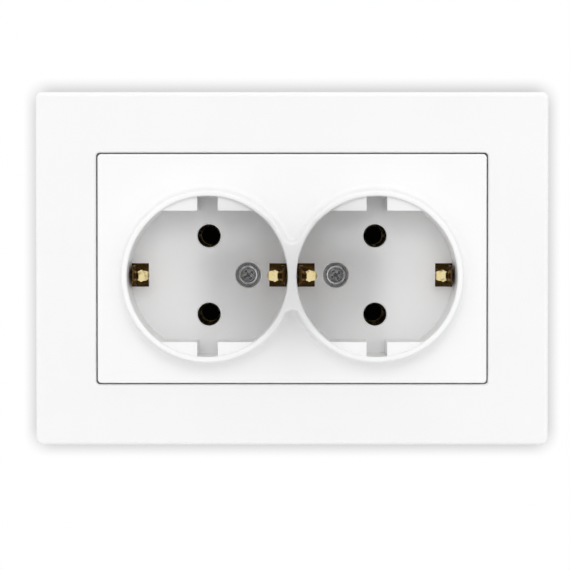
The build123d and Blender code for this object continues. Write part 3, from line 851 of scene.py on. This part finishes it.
@dataclass
class Studio:
    """The wall, the floor, the light and the camera of the photograph."""

    view_width: float = 136.7 * MM
    view_distance: float = 0.72
    sensor_width: float = 36.0
    aim: Vector = field(default_factory=lambda: Vector((-1.7, -11.5, -3.93)) * MM)
    elevation: float = 1.4
    room_sides: Limits = (-3.0, 3.0)
    room_heights: Limits = (-1.2, 2.0)
    room_depth: float = 3.0
    box_half: tuple[float, float] = (60.5 * MM, 41.3 * MM)
    wall_lift: float = 0.05 * MM
    wall_grey: float = 0.84
    flag_grey: float = 0.02
    shadow_reach: float = 4.0 * MM
    shadow_floor: Limits = (0.24, 0.14)
    shadow_span: float = 60.0 * MM
    shadow_samples: int = 16
    key_place: Vector = field(default_factory=lambda: Vector((0.0, -1.05, 0.34)))
    key_target: Vector = field(default_factory=lambda: Vector((0.0, -10.0, 0.0)) * MM)
    key_size: float = 0.4
    key_watts: float = 1.65
    fill: float = 0.79
    fill_axis: float = 1.39
    fill_edge: Limits = (-0.97, -0.75)
    shine_axis: float = 0.08
    shine_edge: Limits = (-0.975, -0.8)
    sky_tilt: float = 0.15

    def backdrop_material(self) -> bpy.types.Material:
        """A pale surface that the camera sees white with a painted contact shadow, and that is clear from behind.

        Returns:
            The material.
        """
        material = bpy.data.materials.new("studio_backdrop")
        material.use_nodes = True
        tree = material.node_tree
        nodes, links = tree.nodes, tree.links
        nodes.clear()
        matt = nodes.new("ShaderNodeBsdfDiffuse")
        matt.inputs["Color"].default_value = grey(self.wall_grey)
        # Painted contact shadow: the camera sees an emission that follows ambient occlusion, darker towards the right
        # and low side.
        contact = nodes.new("ShaderNodeAmbientOcclusion")
        contact.samples = self.shadow_samples
        contact.inputs["Distance"].default_value = self.shadow_reach
        axes = object_axes(tree)
        side = calculate(tree, "SUBTRACT", axes["X"], axes["Z"])
        darkest = map_range(tree, side, (-self.shadow_span, self.shadow_span), self.shadow_floor)
        level = nodes.new("ShaderNodeMapRange")
        links.new(contact.outputs["AO"], level.inputs["Value"])
        links.new(darkest, level.inputs["To Min"])
        painted_shadow = nodes.new("ShaderNodeEmission")
        links.new(level.outputs["Result"], painted_shadow.inputs["Strength"])
        rays = nodes.new("ShaderNodeLightPath")
        facing = nodes.new("ShaderNodeNewGeometry")
        clear = nodes.new("ShaderNodeBsdfTransparent")
        surface = matt.outputs["BSDF"]
        for choice, other in (
            (rays.outputs["Is Camera Ray"], painted_shadow.outputs["Emission"]),
            (facing.outputs["Backfacing"], clear.outputs["BSDF"]),
        ):
            pick = nodes.new("ShaderNodeMixShader")
            links.new(choice, pick.inputs["Fac"])
            links.new(surface, pick.inputs[1])
            links.new(other, pick.inputs[2])
            surface = pick.outputs["Shader"]
        links.new(surface, nodes.new("ShaderNodeOutputMaterial").inputs["Surface"])
        return material

    def add_sheet(
        self, name: str, outline: list[tuple[float, float, float]], material: bpy.types.Material
    ) -> bpy.types.Object:
        """Adds one flat sheet to the studio.

        Args:
            name: The sheet's name.
            outline: Its corners.
            material: What it is made of.

        Returns:
            The sheet.
        """
        mesh = bpy.data.meshes.new(name)
        mesh.from_pydata(outline, [], [tuple(range(len(outline)))])
        mesh.materials.append(material)
        sheet = bpy.data.objects.new(name, mesh)
        bpy.context.scene.collection.objects.link(sheet)
        return sheet

    def build_room(self) -> None:
        """Makes the wall that the socket is fixed to, with its hole for the wall box, and the floor far below it."""
        backdrop = self.backdrop_material()
        x, z = self.box_half
        (left, right), (low, high) = self.room_sides, self.room_heights
        for name, across, upwards in (
            ("studio_wall_left", (left, -x), (low, high)),
            ("studio_wall_right", (x, right), (low, high)),
            ("studio_wall_low", (-x, x), (low, -z)),
            ("studio_wall_high", (-x, x), (z, high)),
        ):
            self.add_sheet(name, upright_sheet(-self.wall_lift, across, upwards), backdrop)
        near = -self.room_depth
        floor = [(left, near, low), (right, near, low), (right, 0, low), (left, 0, low)]
        self.add_sheet("studio_floor", floor, backdrop)

    def build_key(self) -> None:
        """A weak round lamp in front and above, which lights the lower half of each well."""
        data = bpy.data.lights.new("key", "AREA")
        data.shape = "DISK"
        data.size = self.key_size
        data.energy = self.key_watts
        key = bpy.data.objects.new("key", data)
        key.location = self.key_place
        key.rotation_euler = (self.key_target - self.key_place).to_track_quat("-Z", "Y").to_euler()
        key.visible_glossy = False
        bpy.context.scene.collection.objects.link(key)

    def build_flags(self) -> None:
        """Small dark cards before the wells' inner halves and the dividing wall, which only the soft light meets."""
        material, _, shader = new_material("studio_flag")
        shader.inputs["Base Color"].default_value = grey(self.flag_grey)
        for flag in FLAGS:
            x = (flag.x - flag.half_width, flag.x + flag.half_width)
            z = (flag.z - flag.half_height, flag.z + flag.half_height)
            card = self.add_sheet(flag.name, upright_sheet(-flag.distance, x, z), material)
            card.visible_camera = False
            card.visible_glossy = False
            card.visible_transmission = False

    def build_world(self) -> None:
        """A soft white surround: brighter in front for the matt light, darker there for what shines."""
        world = bpy.data.worlds.new("studio_world")
        bpy.context.scene.world = world
        world.use_nodes = True
        tree = world.node_tree
        nodes, links = tree.nodes, tree.links
        rays = nodes.new("ShaderNodeLightPath")
        way = nodes.new("ShaderNodeTexCoord")
        axes = nodes.new("ShaderNodeSeparateXYZ")
        links.new(way.outputs["Generated"], axes.inputs["Vector"])
        fill = map_range(tree, axes.outputs["Y"], self.fill_edge, (self.fill_axis, self.fill))
        shine = map_range(tree, axes.outputs["Y"], self.shine_edge, (self.shine_axis, 1.0))
        tilt = map_range(tree, axes.outputs["Z"], (-1.0, 1.0), (1.0 - self.sky_tilt, 1.0 + self.sky_tilt))
        level = calculate(tree, "MULTIPLY", fill, tilt)
        for ray, seen in (("Is Glossy Ray", shine), ("Is Transmission Ray", None), ("Is Camera Ray", None)):
            pick = nodes.new("ShaderNodeMapRange")
            links.new(rays.outputs[ray], pick.inputs["Value"])
            links.new(level, pick.inputs["To Min"])
            pick.inputs["To Max"].default_value = 1.0
            if seen is not None:
                links.new(seen, pick.inputs["To Max"])
            level = pick.outputs["Result"]
        background = nodes["Background"]
        background.inputs["Color"].default_value = grey(1.0)
        links.new(level, background.inputs["Strength"])

    def build_camera(self) -> None:
        """Places the long lens that the photograph was taken with."""
        data = bpy.data.cameras.new("camera")
        data.sensor_width = self.sensor_width
        data.lens = self.sensor_width * self.view_distance / self.view_width
        camera = bpy.data.objects.new("camera", data)
        up = math.radians(self.elevation)
        back = Vector((0.0, -math.cos(up), math.sin(up)))
        camera.location = self.aim + back * self.view_distance
        camera.rotation_euler = (-back).to_track_quat("-Z", "Y").to_euler()
        bpy.context.scene.collection.objects.link(camera)
        bpy.context.scene.camera = camera

    def build(self) -> None:
        """Makes the whole studio."""
        self.build_room()
        self.build_key()
        self.build_flags()
        self.build_world()
        self.build_camera()
        bpy.context.scene.view_settings.view_transform = "Standard"


def main() -> None:
    """Builds every piece in order."""
    logging.basicConfig(level=logging.INFO, format="%(message)s")
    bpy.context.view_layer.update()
    finishes = Finishes()
    mouldings = Mouldings()
    mouldings.dress(finishes)
    Metalwork().dress(finishes, mouldings.worn)
    Fasteners().build(finishes)
    Studio().build()


if __name__ == "__main__":
    main()
